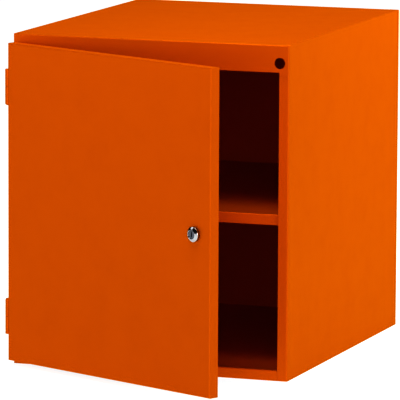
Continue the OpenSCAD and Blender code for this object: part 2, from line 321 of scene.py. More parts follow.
@dataclass(frozen=True)
class Rubber:
    """Matt moulded rubber with a bloom of dust."""

    name: str = "rubber_grey"
    colour: Colour = (0.035, 0.035, 0.037)
    bloom_colour: Colour = (0.09, 0.088, 0.085)
    bloom_start: float = 0.4
    bloom_blend: float = 0.4
    bloom_pores: float = 20.0
    roughness: float = 0.78
    roughness_swing: float = 0.1
    pore_size: float = 0.0005
    pore_depth: float = 0.00002

    def make(self) -> bpy.types.Material:
        """Builds the material.

        Returns:
            The material.
        """
        material = bpy.data.materials.new(self.name)
        tree = Tree(material)
        pores = tree.noise(self.pore_size, detail=2.0)
        dust = tree.noise(self.pore_size * self.bloom_pores, detail=3.0)
        bloom = dust.above(self.bloom_start, self.bloom_blend)
        tree.surface({
            "Base Color": tree.mix(bloom, self.colour, self.bloom_colour),
            "Roughness": self.roughness + self.roughness_swing * pores,
            "Normal": (pores * self.pore_depth).as_bump(),
        })
        return material


@dataclass(frozen=True)
class PaleFloor:
    """Pale seamless studio floor that glows a little, darker and greyer near the object, where its
    cool-tinted glow is painted fill light that lifts the object's shadows and offsets the orange light
    bounced onto the floor.
    """

    name: str = "studio_floor"
    # Near the object the floor reflects less lamp light and relies on its glow: painted fill light, tinted
    # cool, that lifts the shadows there and offsets the orange bounce from the cupboard
    near_colour: Colour = (0.42, 0.42, 0.42)
    far_colour: Colour = (0.86, 0.86, 0.86)
    near_fill_glow: Colour = (0.49, 0.525, 0.535)
    far_glow: Colour = (0.55, 0.55, 0.55)
    near_reach: float = 0.6
    far_reach: float = 2.6
    roughness: float = 0.9
    gloss: float = 0.2

    def make(self) -> bpy.types.Material:
        """Builds the material.

        Returns:
            The material.
        """
        material = bpy.data.materials.new(self.name)
        tree = Tree(material)
        point = tree.object_point()
        reach = tree.wire("ShaderNodeVectorMath", {"operation": "LENGTH"}, {0: point}, "Value")
        away = reach.above(self.near_reach, self.far_reach - self.near_reach)
        tree.surface({
            "Base Color": tree.mix(away, self.near_colour, self.far_colour),
            "Roughness": self.roughness,
            "Specular IOR Level": self.gloss,
            # Emission: painted fill light near the object, the even glow of a bright floor farther out
            "Emission Color": tree.mix(away, self.near_fill_glow, self.far_glow),
            "Emission Strength": 1.0,
        })
        return material


@dataclass(frozen=True)
class Palette:
    """The finished materials by the record's slot, and two for the lock's plug and cast body."""

    materials: dict[Slot, bpy.types.Material]
    plug: bpy.types.Material
    cast: bpy.types.Material

    @classmethod
    def mixed(cls) -> "Palette":
        """Builds every finish.

        Returns:
            The palette.
        """
        zinc = Plated(
            "zinc_steel", colour=(0.62, 0.63, 0.64), dull_colour=(0.50, 0.50, 0.49),
            roughness=0.28, roughness_swing=0.14, grain_size=0.0006, grain_depth=0.000006,
        )
        chrome = Plated(
            "lock_chrome", colour=(0.60, 0.60, 0.61), dull_colour=(0.52, 0.52, 0.54),
            roughness=0.10, roughness_swing=0.08, grain_size=0.0004, grain_depth=0.000002,
        )
        satin = Plated(
            "lock_plug_satin", colour=(0.20, 0.21, 0.24), dull_colour=(0.15, 0.16, 0.18),
            roughness=0.26, roughness_swing=0.10, grain_size=0.0003, grain_depth=0.000002,
        )
        cast = Plated(
            "lock_body_cast", colour=(0.30, 0.30, 0.31), dull_colour=(0.22, 0.22, 0.23),
            roughness=0.30, roughness_swing=0.12, grain_size=0.0003, grain_depth=0.000004,
        )
        materials = {
            Slot.PAINT: PowderCoat().make(),
            Slot.ZINC: zinc.make(),
            Slot.CHROME: chrome.make(),
            Slot.RUBBER: Rubber().make(),
        }
        return cls(materials, satin.make(), cast.make())

    def dress(self, node: str, slot: Slot) -> None:
        """Gives a CAD node its finish.

        Args:
            node: the node's name.
            slot: the finish.
        """
        for place in frame["nodes"][node].material_slots:
            place.material = self.materials[slot]
        log.info("dressed %s in %s", node, slot.value)


# Meshes


class Space:
    """A local frame of the assembly and where it stands at rest."""

    def __init__(self, matrix: Matrix) -> None:
        """Holds the matrix from this frame's axes to the assembly's, at rest."""
        self.matrix = matrix
        self.inverse = matrix.inverted()

    def box(self, node: str) -> tuple[Vector, Vector]:
        """Box of a CAD node along this frame's axes.

        Args:
            node: the node's name.

        Returns:
            Its lowest and highest corners.
        """
        points = [self.inverse @ v.co for v in frame["nodes"][node].data.vertices]
        low = Vector(min(p[i] for p in points) for i in range(3))
        high = Vector(max(p[i] for p in points) for i in range(3))
        return low, high


def joint(name: str) -> dict:
    """The record's entry of a joint."""
    return next(j for j in frame["joints"] if j["name"] == name)


def cabinet_space() -> Space:
    """The assembly's own axes."""
    return Space(Matrix.Identity(4))


def hinge_space(closed: bool) -> Space:
    """Axes of the cabinet or of the closed door, with the hinge axis at the origin.

    Args:
        closed: whether the frame turns with the door, and is square to it when the door is closed.

    Returns:
        The frame.
    """
    hinge = joint("door_hinge")
    place = Vector(hinge["pos_m"])
    place.z = 0
    turn = -math.radians(hinge["range_deg"][0]) if closed else 0.0
    return Space(Matrix.Translation(place) @ Matrix.Rotation(turn, 4, Vector(hinge["axis"])))


def lock_space() -> Space:
    """Axes of the lock: Z out of the door along its axis and Y up, with the door's face at zero."""
    turn = joint("lock_turn")
    out = Vector(turn["axis"]).normalized()
    up = Vector((0, 0, 1))
    side = up.cross(out)
    rotation = Matrix((side, up, out)).transposed().to_4x4()
    return Space(Matrix.Translation(Vector(turn["pos_m"])) @ rotation)


def ray(angle: float) -> Pair:
    """Cosine and sine of an angle in degrees."""
    return math.cos(math.radians(angle)), math.sin(math.radians(angle))


def bearing(ratio: float) -> float:
    """Angle in degrees of this cosine, and 0 where it is over 1."""
    return math.degrees(math.acos(min(1.0, ratio)))


def arc(centre: Pair, radius: float, start: float, end: float, steps: int) -> Outline:
    """Points of an arc of so many chords, both ends included, with its angles in degrees."""
    rays = [ray(start + (end - start) * i / steps) for i in range(steps + 1)]
    return [(centre[0] + radius * x, centre[1] + radius * y) for x, y in rays]


def dome(radius: float, height: float, reach: float) -> Outline:
    """Half section of a domed head on its flat face at zero.

    Args:
        radius: radius of the head.
        height: height of the head.
        reach: share of the dome that is kept, from the top down.

    Returns:
        The points, from near the rim up to the top.
    """
    steps = 10
    ball = (radius ** 2 + height ** 2) / (2 * height)
    spread = math.degrees(math.asin(radius / ball)) * reach
    return [*arc((0, height - ball), ball, 90 - spread, 90, steps)[:-1], (0, height)]


def inset(loop: Outline, distance: float) -> Outline:
    """A loop moved to the left of its own direction.

    Args:
        loop: closed outline; anticlockwise loops shrink and clockwise ones grow.
        distance: how far each edge moves.

    Returns:
        The moved loop.
    """
    moved = []
    for i, point in enumerate(loop):
        here = Vector(point)
        before = (here - Vector(loop[i - 1])).normalized()
        after = (Vector(loop[(i + 1) % len(loop)]) - here).normalized()
        first, second = Vector((-before.y, before.x)), Vector((-after.y, after.x))
        push = (first + second) * (distance / (1 + first.dot(second)))
        moved.append(tuple(here + push))
    return moved


class Solid:
    """A mesh under construction, made of closed shells."""

    steps = 64

    def __init__(self) -> None:
        """Starts with nothing."""
        self.mesh = bmesh.new()

    def _skin(self, rings: list[list[bmesh.types.BMVert]], closed: bool) -> None:
        """Joins rings of vertices with faces. A ring of one vertex is a pole.

        Args:
            rings: rings of as many vertices each, or of one.
            closed: whether the last ring joins the first.
        """
        pairs = list(zip(rings, rings[1:] + rings[:1])) if closed else list(zip(rings, rings[1:]))
        for low, high in pairs:
            count = max(len(low), len(high))
            for i in range(count):
                k = (i + 1) % count
                corners = [low[i % len(low)], low[k % len(low)], high[k % len(high)], high[i % len(high)]]
                unique = list(dict.fromkeys(corners))
                if len(unique) > 2:
                    self.mesh.faces.new(unique)

    def lathe(self, profile: Outline, bend: Bend | None = None, steps: int = 0) -> "Solid":
        """Turns a half section about the Z axis.

        Args:
            profile: (radius, height) points. From axis to axis it makes a full body, and otherwise its
                ends are joined into a ring.
            bend: moves a point of the section by its angle, for threads and hexagons.
            steps: points round the axis.

        Returns:
            This solid.
        """
        count = steps or self.steps
        rings = []
        for radius, height in profile:
            if radius == 0:
                rings.append([self.mesh.verts.new((0, 0, height))])
                continue
            ring = []
            for i in range(count):
                angle = 2 * math.pi * i / count
                r, z = bend(angle, radius, height) if bend else (radius, height)
                ring.append(self.mesh.verts.new((r * math.cos(angle), r * math.sin(angle), z)))
            rings.append(ring)
        self._skin(rings, closed=profile[0][0] > 0)
        return self

    def prism(
        self, outline: Outline, low: float, high: float, rim: float, holes: Sequence[Outline] = ()
    ) -> "Solid":
        """Extrudes an outline along Z, with bevelled rims.

        Args:
            outline: anticlockwise outline.
            low: height of the lower face.
            high: height of the upper face.
            rim: size of the bevels.
            holes: clockwise outlines of the holes.

        Returns:
            This solid.
        """
        layers = [(low, rim), (low + rim, 0.0), (high - rim, 0.0), (high, rim)]
        caps: dict[float, list[list[bmesh.types.BMVert]]] = {low: [], high: []}
        for loop in [outline, *holes]:
            rings = []
            for height, step in layers:
                rings.append([self.mesh.verts.new((x, y, height)) for x, y in inset(loop, step)])
            self._skin(rings, closed=False)
            caps[low].append(rings[0])
            caps[high].append(rings[-1])
        for loops in caps.values():
            verts = [v for loop in loops for v in loop]
            for corners in tessellate_polygon([[v.co for v in loop] for loop in loops]):
                self.mesh.faces.new([verts[i] for i in corners])
        return self

    def rod(self, foot: Vector, height: float, radii: Sequence[float], sides: int) -> "Solid":
        """Adds an upright rod of changing radius, with a point at each end.

        Args:
            foot: its lower end.
            height: its height.
            radii: its radius at even steps from end to end.
            sides: points round it.

        Returns:
            This solid.
        """
        up = Vector((0, 0, 1))
        side = up.orthogonal().normalized()
        other = up.cross(side)
        turn = [2 * math.pi * k / sides for k in range(sides)]
        last = len(radii) - 1
        rings = []
        for i, radius in enumerate(radii):
            spots = [foot + up * (height * i / last)]
            if 0 < i < last:
                spots = [spots[0] + radius * (math.cos(a) * side + math.sin(a) * other) for a in turn]
            rings.append([self.mesh.verts.new(spot) for spot in spots])
        self._skin(rings, closed=False)
        return self

    def moved(self, matrix: Matrix) -> "Solid":
        """Moves all that is made so far, and returns this solid."""
        self.mesh.transform(matrix)
        return self

    def joined(self, other: "Solid", matrix: Matrix) -> "Solid":
        """Adds a copy of another solid.

        Args:
            other: the solid to copy.
            matrix: where the copy goes.

        Returns:
            This solid.
        """
        copy = bpy.data.meshes.new("copy")
        other.mesh.to_mesh(copy)
        copy.transform(matrix)
        self.mesh.from_mesh(copy)
        bpy.data.meshes.remove(copy)
        return self

    def cut(self, tool: "Solid") -> "Solid":
        """Takes another solid away from this one.

        Args:
            tool: the solid to take away.

        Returns:
            This solid.
        """
        body = self._as_object("cut_body")
        cutter = tool._as_object("cut_tool")
        boolean = body.modifiers.new("cut", "BOOLEAN")
        boolean.operation = "DIFFERENCE"
        boolean.solver = "EXACT"
        boolean.object = cutter
        result = body.evaluated_get(bpy.context.evaluated_depsgraph_get()).to_mesh()
        self.mesh.clear()
        self.mesh.from_mesh(result)
        for thing in (body, cutter):
            data = thing.data
            bpy.data.objects.remove(thing)
            bpy.data.meshes.remove(data)
        return self

    def _as_object(self, name: str) -> bpy.types.Object:
        """Copies the mesh to an object in the scene.

        Args:
            name: the object's name.

        Returns:
            The object.
        """
        bmesh.ops.recalc_face_normals(self.mesh, faces=self.mesh.faces)
        data = bpy.data.meshes.new(name)
        self.mesh.to_mesh(data)
        made = bpy.data.objects.new(name, data)
        bpy.context.scene.collection.objects.link(made)
        return made

    def finished(self, name: str, material: bpy.types.Material, crease: float = 35.0) -> bpy.types.Object:
        """Makes the final object.

        Args:
            name: its name.
            material: its finish.
            crease: edges sharper than this many degrees stay sharp.

        Returns:
            The object.
        """
        made = self._as_object(name)
        self.mesh.free()
        made.data.shade_smooth()
        made.data.set_sharp_from_angle(angle=math.radians(crease))
        made.data.materials.append(material)
        return made


@dataclass(frozen=True)
class Fitter:
    """Places finished pieces on the bodies of the frame."""

    palette: Palette

    def place(
        self,
        solid: Solid,
        name: str,
        slot: Slot,
        body: Body,
        space: Space,
        stands_for: str = "",
        material: bpy.types.Material | None = None,
    ) -> None:
        """Finishes a solid and sets it on its body.

        Args:
            solid: the mesh, in the space's axes.
            name: the piece's name.
            slot: its finish.
            body: the body that it rides on.
            space: where its axes stand.
            stands_for: the CAD node that it replaces, if any.
            material: a material of its own instead of the slot's.
        """
        piece = solid.moved(space.matrix).finished(name, material or self.palette.materials[slot])
        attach(piece, body.value)
        if stands_for:
            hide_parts(stands_for)
        log.info("placed %s on %s", name, body.value)


# Small parts


@dataclass(frozen=True)
class CrossRecess:
    """Cross recess of a screw head, bevelled round its floor."""

    span: float
    width: float
    depth: float

    def cutter(self, top: float) -> Solid:
        """The solid that cuts the recess.

        Args:
            top: height of the head's top.

        Returns:
            An upright cross.
        """
        arm, half, bevel = self.span / 2, self.width / 2, self.width / 4
        corners = [(arm, -half), (arm, half), (half, half)]
        cross = []
        for _ in range(4):
            cross += corners
            corners = [(-y, x) for x, y in corners]
        return Solid().prism(cross, top - self.depth, top + self.depth, bevel)


@dataclass(frozen=True)
class Thread:
    """Rolled thread on a straight shank."""

    radius: float
    pitch: float
    depth: float
    low: float
    high: float

    # Rings of vertices in one turn, and the share of the radius from which a point is on the shank's wall
    rings = 6
    wall = 0.99

    def heights(self) -> list[float]:
        """Heights of the rings that carry the thread, from the lower end up."""
        count = max(2, round((self.high - self.low) / self.pitch * self.rings))
        return [self.low + (self.high - self.low) * i / count for i in range(count + 1)]

    def bend(self, angle: float, radius: float, height: float) -> Pair:
        """Moves a point of the shank into the thread.

        Args:
            angle: angle round the axis.
            radius: its radius on the plain shank.
            height: its height.

        Returns:
            Its radius and height.
        """
        if not self.low <= height <= self.high or radius < self.radius * self.wall:
            return radius, height
        turns = height / self.pitch - angle / (2 * math.pi)
        groove = abs(2 * (turns - math.floor(turns)) - 1)
        fade = min(1.0, (height - self.low) / self.pitch, (self.high - height) / self.pitch)
        return radius - self.depth * groove * fade, height


@dataclass(frozen=True)
class Hexagon:
    """Six flats round a turned nut or screw head, with its corners chamfered at one end or both."""

    flats: float
    chamfer_share: float
    low: float
    high: float | None = None
    chamfer_angle: float = 30.0

    # Points round the axis: a multiple of twelve, so that corners and flats get their own
    steps = 96

    @property
    def corner(self) -> float:
        """Radius of the corners."""
        return self.flats / 2 / math.cos(math.radians(30))

    @property
    def start(self) -> float:
        """Radius at which the chamfer begins."""
        return self.flats / 2 * self.chamfer_share

    def bend(self, angle: float, radius: float, height: float) -> Pair:
        """Takes the outer wall to the hexagon and its chamfered ends back from the corners.

        Args:
            angle: angle round the axis.
            radius: radius of a point of the section.
            height: its height.

        Returns:
            Its radius and height.
        """
        if radius < self.corner:
            return radius, height
        sixth = math.pi / 3
        wall = self.flats / 2 / math.cos((angle % sixth) - sixth / 2)
        drop = (wall - self.start) * math.tan(math.radians(self.chamfer_angle))
        return wall, height + drop * ((height == self.low) - (height == self.high))


@dataclass(frozen=True)
class PanScrew:
    """Pan-head screw with a cross recess, its seat at zero and its shank below."""

    head_r: float
    head_h: float
    shank_r: float
    length: float
    thread_pitch: float = 0.0007
    thread_depth: float = 0.0003
    tip: float = 0.0006
    neck: float = 0.0003

    # Shares of the shank's radius, and of the head's radius and height
    tip_share = 0.7
    rim_share = 0.97
    dome_share = 0.96
    recess_shares = (0.95, 0.24, 0.6)
    # Points round the axis
    steps = 40

    def solid(self) -> Solid:
        """Builds the screw.

        Returns:
            The solid, on the Z axis.
        """
        ends = self.tip - self.length, -self.neck
        thread = Thread(self.shank_r, self.thread_pitch, self.thread_depth, *ends)
        profile = [(0, -self.length), (self.shank_r * self.tip_share, -self.length)]
        profile += [(self.shank_r, z) for z in thread.heights()]
        profile += [(self.shank_r, 0), (self.head_r * self.rim_share, 0)]
        profile += dome(self.head_r, self.head_h, self.dome_share)
        screw = Solid().lathe(profile, thread.bend, self.steps)
        span, width, depth = self.recess_shares
        recess = CrossRecess(self.head_r * span, self.head_r * width, self.head_h * depth)
        return screw.cut(recess.cutter(self.head_h))


@dataclass(frozen=True)
class SpotWelds:
    """Rows of resistance welds: a shallow dish inside a low raised ring."""

    pitch: float = 0.075
    radius: float = 0.0027
    rise: float = 0.00012
    lift: float = 0.00002

    # Half section, in shares of the radius and the rise
    section = ((0, 0), (1, 0), (0.9, 0.8), (0.78, 1), (0.62, 0.7), (0.4, 0.35), (0, 0.25))
    # Points round a weld
    steps = 24

    def row(self, solid: Solid, start: Vector, end: Vector, out: Vector) -> None:
        """Adds a row of welds, about a pitch apart.

        Args:
            solid: the solid that takes them.
            start: centre of the first weld.
            end: centre of the last weld.
            out: direction that the surface faces.
        """
        mark = Solid().lathe([(self.radius * r, self.rise * h) for r, h in self.section], steps=self.steps)
        facing = out.to_track_quat("Z", "Y").to_matrix().to_4x4()
        gaps = max(1, round((end - start).length / self.pitch))
        for i in range(gaps + 1):
            centre = start.lerp(end, i / gaps) + out * self.lift
            solid.joined(mark, Matrix.Translation(centre) @ facing)


# Sub-assemblies


@dataclass
class Carcass:
    """Folded and spot-welded sheets of the cabinet, with its shelf."""

    fitter: Fitter
    space: Space = field(default_factory=cabinet_space)
    sheet: float = 0.0012
    rear_flange: float = 0.015
    back_weld_end: float = 0.03
    roof_weld_drop: float = 0.006
    side_weld_end: float = 0.02
    corner_gap: float = 0.0008
    corner_weld_low: float = 0.0004
    screw_head_r: float = 0.0042
    screw_head_rise: float = 0.0022
    screw_shank_r: float = 0.002

    panels = (
        "top_panel", "side_panel_left", "side_panel_right", "base_panel", "base_stiffener", "back_panel",
        "corner_angles", "shelf", "shelf_bracket_left", "shelf_bracket_right",
    )
    # The sign of X at each side, and the points round a corner's bead
    sides = (("left", 1), ("right", -1))
    bead_sides = 10

    def build(self) -> None:
        """Dresses the panels and adds the welds and the shelf's screws."""
        for node in self.panels:
            self.fitter.palette.dress(node, Slot.PAINT)
        self._back_welds()
        self._bracket_welds()
        self._corner_welds()
        self._shelf_screws()

    def _back_welds(self) -> None:
        """Welds of the back panel on the flanges behind it, seen from inside."""
        low, high = self.space.box("back_panel")
        x = self.space.box("side_panel_left")[0].x + self.rear_flange / 2
        end, top = self.back_weld_end, high.z - self.roof_weld_drop
        rows = [((edge, low.z + end), (edge, high.z - end)) for edge in (x, -x)]
        rows.append(((x + end, top), (-x - end, top)))
        solid = Solid()
        for (x0, z0), (x1, z1) in rows:
            start, stop = Vector((x0, low.y, z0)), Vector((x1, low.y, z1))
            SpotWelds().row(solid, start, stop, Vector((0, -1, 0)))
        self.fitter.place(solid, "back_spot_welds", Slot.PAINT, Body.CABINET, self.space)

    def _bracket_welds(self) -> None:
        """Welds of the shelf brackets and of the roof's corner angles on the sides."""
        for tag, sign in self.sides:
            solid = Solid()
            for node in (f"shelf_bracket_{tag}", "corner_angles"):
                low, high = self.space.box(node)
                wall = (low.x if sign > 0 else high.x) + sign * self.sheet
                z = (low.z + high.z) / 2
                start = Vector((wall, low.y + self.side_weld_end, z))
                stop = Vector((wall, high.y - self.side_weld_end, z))
                SpotWelds().row(solid, start, stop, Vector((sign, 0, 0)))
            self.fitter.place(solid, f"side_spot_welds_{tag}", Slot.PAINT, Body.CABINET, self.space)

    def _corner_welds(self) -> None:
        """Short upright welds between the floor's rear lip and the sides' rear flanges."""
        side_low, side_high = self.space.box("side_panel_left")
        x = side_low.x + self.rear_flange + self.corner_gap / 2
        y = side_high.y - self.sheet / 2
        low = self.corner_weld_low
        height = self.space.box("base_panel")[1].z - 2 * self.sheet - low
        steps, mean, ripple, beat = 24, 0.88, 0.08, 2.1
        radii = [self.sheet / 2 * (mean + ripple * math.sin(i * beat)) for i in range(steps + 1)]
        for tag, sign in self.sides:
            bead = Solid().rod(Vector((sign * x, y, low)), height, radii, self.bead_sides)
            self.fitter.place(bead, f"base_corner_weld_{tag}", Slot.PAINT, Body.CABINET, self.space)

    def _shelf_screws(self) -> None:
        """The four pan-head screws that hold the shelf on its brackets."""
        low, high = self.space.box("shelf_screws")
        r, rise = self.screw_head_r, self.screw_head_rise
        seat = high.z - rise
        for depth, y in (("front", low.y + r), ("back", high.y - r)):
            for side, x in (("left", low.x + r), ("right", high.x - r)):
                screw = PanScrew(r, rise, self.screw_shank_r, seat - low.z).solid()
                at = Space(Matrix.Translation((x, y, seat)))
                name = f"shelf_screw_{depth}_{side}"
                self.fitter.place(screw, name, Slot.ZINC, Body.CABINET, at, "shelf_screws")


@dataclass
class Hinge:
    """Welded knuckle hinge: a rolled leaf on the cabinet's side, one on the door's edge and a pin."""

    fitter: Fitter
    end: HingeEnd
    leaf: float = 0.002
    rim: float = 0.00025
    slit: float = 0.0003
    pin_r: float = 0.002
    pin_head_h: float = 0.0016
    pin_chamfer: float = 0.0004
    bead_r: float = 0.0013
    bead_inset: float = 0.003
    ripple_length: float = 0.0017

    # Shares of the leaf's thickness, of the pin's radius, of its head and of the bead's radius
    foot_share = 0.3
    tail_share = 0.8
    rim_share = 0.97
    dome_share = 0.95
    ripple_share = 0.035
    # Chords round the leaf and its bore, steps along a bead, points round it and how blunt its ends are
    roll_steps = 40
    bore_steps = 32
    bead_steps = 90
    bead_sides = 12
    bead_bluntness = 8

    @property
    def tag(self) -> str:
        """The hinge's name in the frame's nodes."""
        return f"hinge_{self.end.value}"

    def build(self) -> None:
        """Builds both leaves, their welds and the pin."""
        cabinet, door = hinge_space(closed=False), hinge_space(closed=True)
        self._leaf(cabinet, f"{self.tag}_body_leaf", "side_panel_left", Body.CABINET)
        self._leaf(door, f"{self.tag}_door_leaf", "door_pan", Body.DOOR)
        self._pin(cabinet)

    def _leaf(self, space: Space, node: str, carrier: str, body: Body) -> None:
        """One leaf, rolled round the pin and bevelled at its ends, with its weld.

        Args:
            space: axes with the hinge axis at the origin.
            node: the CAD node that the leaf replaces.
            carrier: the CAD node that it is welded to.
            body: the body that it rides on.
        """
        low, high = space.box(node)
        radius = -low.x
        wall = space.box(carrier)[0].x
        outer_x = wall - self.leaf
        slit_x = outer_x - self.slit
        start, finish = bearing(wall / radius), bearing(slit_x / radius) - 360
        around = arc((0, 0), radius, start, finish, self.roll_steps)
        start, finish = bearing(slit_x / self.pin_r) - 360, bearing(outer_x / self.pin_r)
        inside = arc((0, 0), self.pin_r, start, finish, self.bore_steps)
        if wall > radius:
            around = [(wall, self.leaf * self.foot_share), *around]
        clockwise = [(outer_x, high.y), (wall, high.y), *around, *inside]
        strip = Solid().prism(clockwise[::-1], low.z, high.z, self.rim)
        self.fitter.place(strip, f"{node}_rolled", Slot.PAINT, body, space, node)
        foot = Vector((wall, high.y, low.z + self.bead_inset))
        bead = self._bead(foot, high.z - low.z - 2 * self.bead_inset)
        self.fitter.place(bead, f"{node}_weld", Slot.PAINT, body, space)

    def _bead(self, foot: Vector, height: float) -> Solid:
        """Rippled bead of weld down a leaf's rear edge.

        Args:
            foot: its lower end.
            height: its height.

        Returns:
            The bead.
        """
        radii = []
        for i in range(self.bead_steps + 1):
            share = i / self.bead_steps
            close = math.sqrt(max(0.0, 1 - (2 * share - 1) ** self.bead_bluntness))
            turns = (foot.z + height * share) / self.ripple_length
            radii.append(self.bead_r * close * (1 + self.ripple_share * math.sin(2 * math.pi * turns)))
        return Solid().rod(foot, height, radii, self.bead_sides)

    def _pin(self, space: Space) -> None:
        """The pin: a domed head at one end and a peened one at the other.

        Args:
            space: axes with the hinge axis at the origin.
        """
        node = f"{self.tag}_pin"
        low, high = space.box(node)
        head_r, head_h = high.x, self.pin_head_h
        length = high.z - low.z - head_h
        head = [(r, -z) for r, z in reversed(dome(head_r, head_h, self.dome_share))]
        profile = [
            *head, (head_r * self.rim_share, 0), (self.pin_r, 0), (self.pin_r, length - self.pin_chamfer),
            (self.pin_r * self.tail_share, length), (0, length),
        ]
        pin = Solid().lathe(profile)
        if self.end is HingeEnd.UPPER:
            at = Matrix.Translation((0, 0, low.z + head_h))
        else:
            at = Matrix.Translation((0, 0, high.z - head_h)) @ Matrix.Rotation(math.pi, 4, "X")
        self.fitter.place(pin.moved(at), f"{node}_domed", Slot.PAINT, Body.CABINET, space, node)


@dataclass
class Door:
    """Folded door pan with its stiffener and rubber pads."""

    fitter: Fitter
    space: Space = field(default_factory=lambda: hinge_space(closed=True))
    sheet: float = 0.0012
    weld_pitch: float = 0.06
    weld_edge: float = 0.008
    weld_end: float = 0.025

    # A pad's rounded shoulder in shares of its thickness, and its dimple in shares of radius and thickness
    shoulder_share = 0.35
    dimple = ((0.45, 1), (0.3, 0.8), (0, 0.75))
    # Chords of the shoulder
    steps = 6

    def build(self) -> None:
        """Dresses the sheets and adds the welds and the pads."""
        for node in ("door_pan", "door_stiffener"):
            self.fitter.palette.dress(node, Slot.PAINT)
        self._stiffener_welds()
        self._pads()

    def _stiffener_welds(self) -> None:
        """Welds of the stiffener's flanges on the back of the door's front."""
        low, high = self.space.box("door_stiffener")
        y, end = low.y + self.sheet, self.weld_end
        solid = Solid()
        for x in (low.x + self.weld_edge, high.x - self.weld_edge):
            start, stop = Vector((x, y, low.z + end)), Vector((x, y, high.z - end))
            SpotWelds(self.weld_pitch).row(solid, start, stop, Vector((0, 1, 0)))
        self.fitter.place(solid, "door_spot_welds", Slot.PAINT, Body.DOOR, self.space)

    def _pads(self) -> None:
        """The two rubber pads that the door closes on."""
        low, high = self.space.box("door_buffers")
        radius = (high.x - low.x) / 2
        thick = high.y - low.y
        shoulder = thick * self.shoulder_share
        profile = [(0, 0), (radius, 0), (radius, thick - shoulder)]
        profile += arc((radius - shoulder, thick - shoulder), shoulder, 0, 90, self.steps)[1:]
        profile += [(radius * r, thick * h) for r, h in self.dimple]
        facing = Matrix.Rotation(-math.pi / 2, 4, "X")
        for tag, z in (("lower", low.z + radius), ("upper", high.z - radius)):
            at = Matrix.Translation(((low.x + high.x) / 2, low.y, z)) @ facing
            pad = Solid().lathe(profile).moved(at)
            self.fitter.place(pad, f"door_pad_{tag}", Slot.RUBBER, Body.DOOR, self.space, "door_buffers")


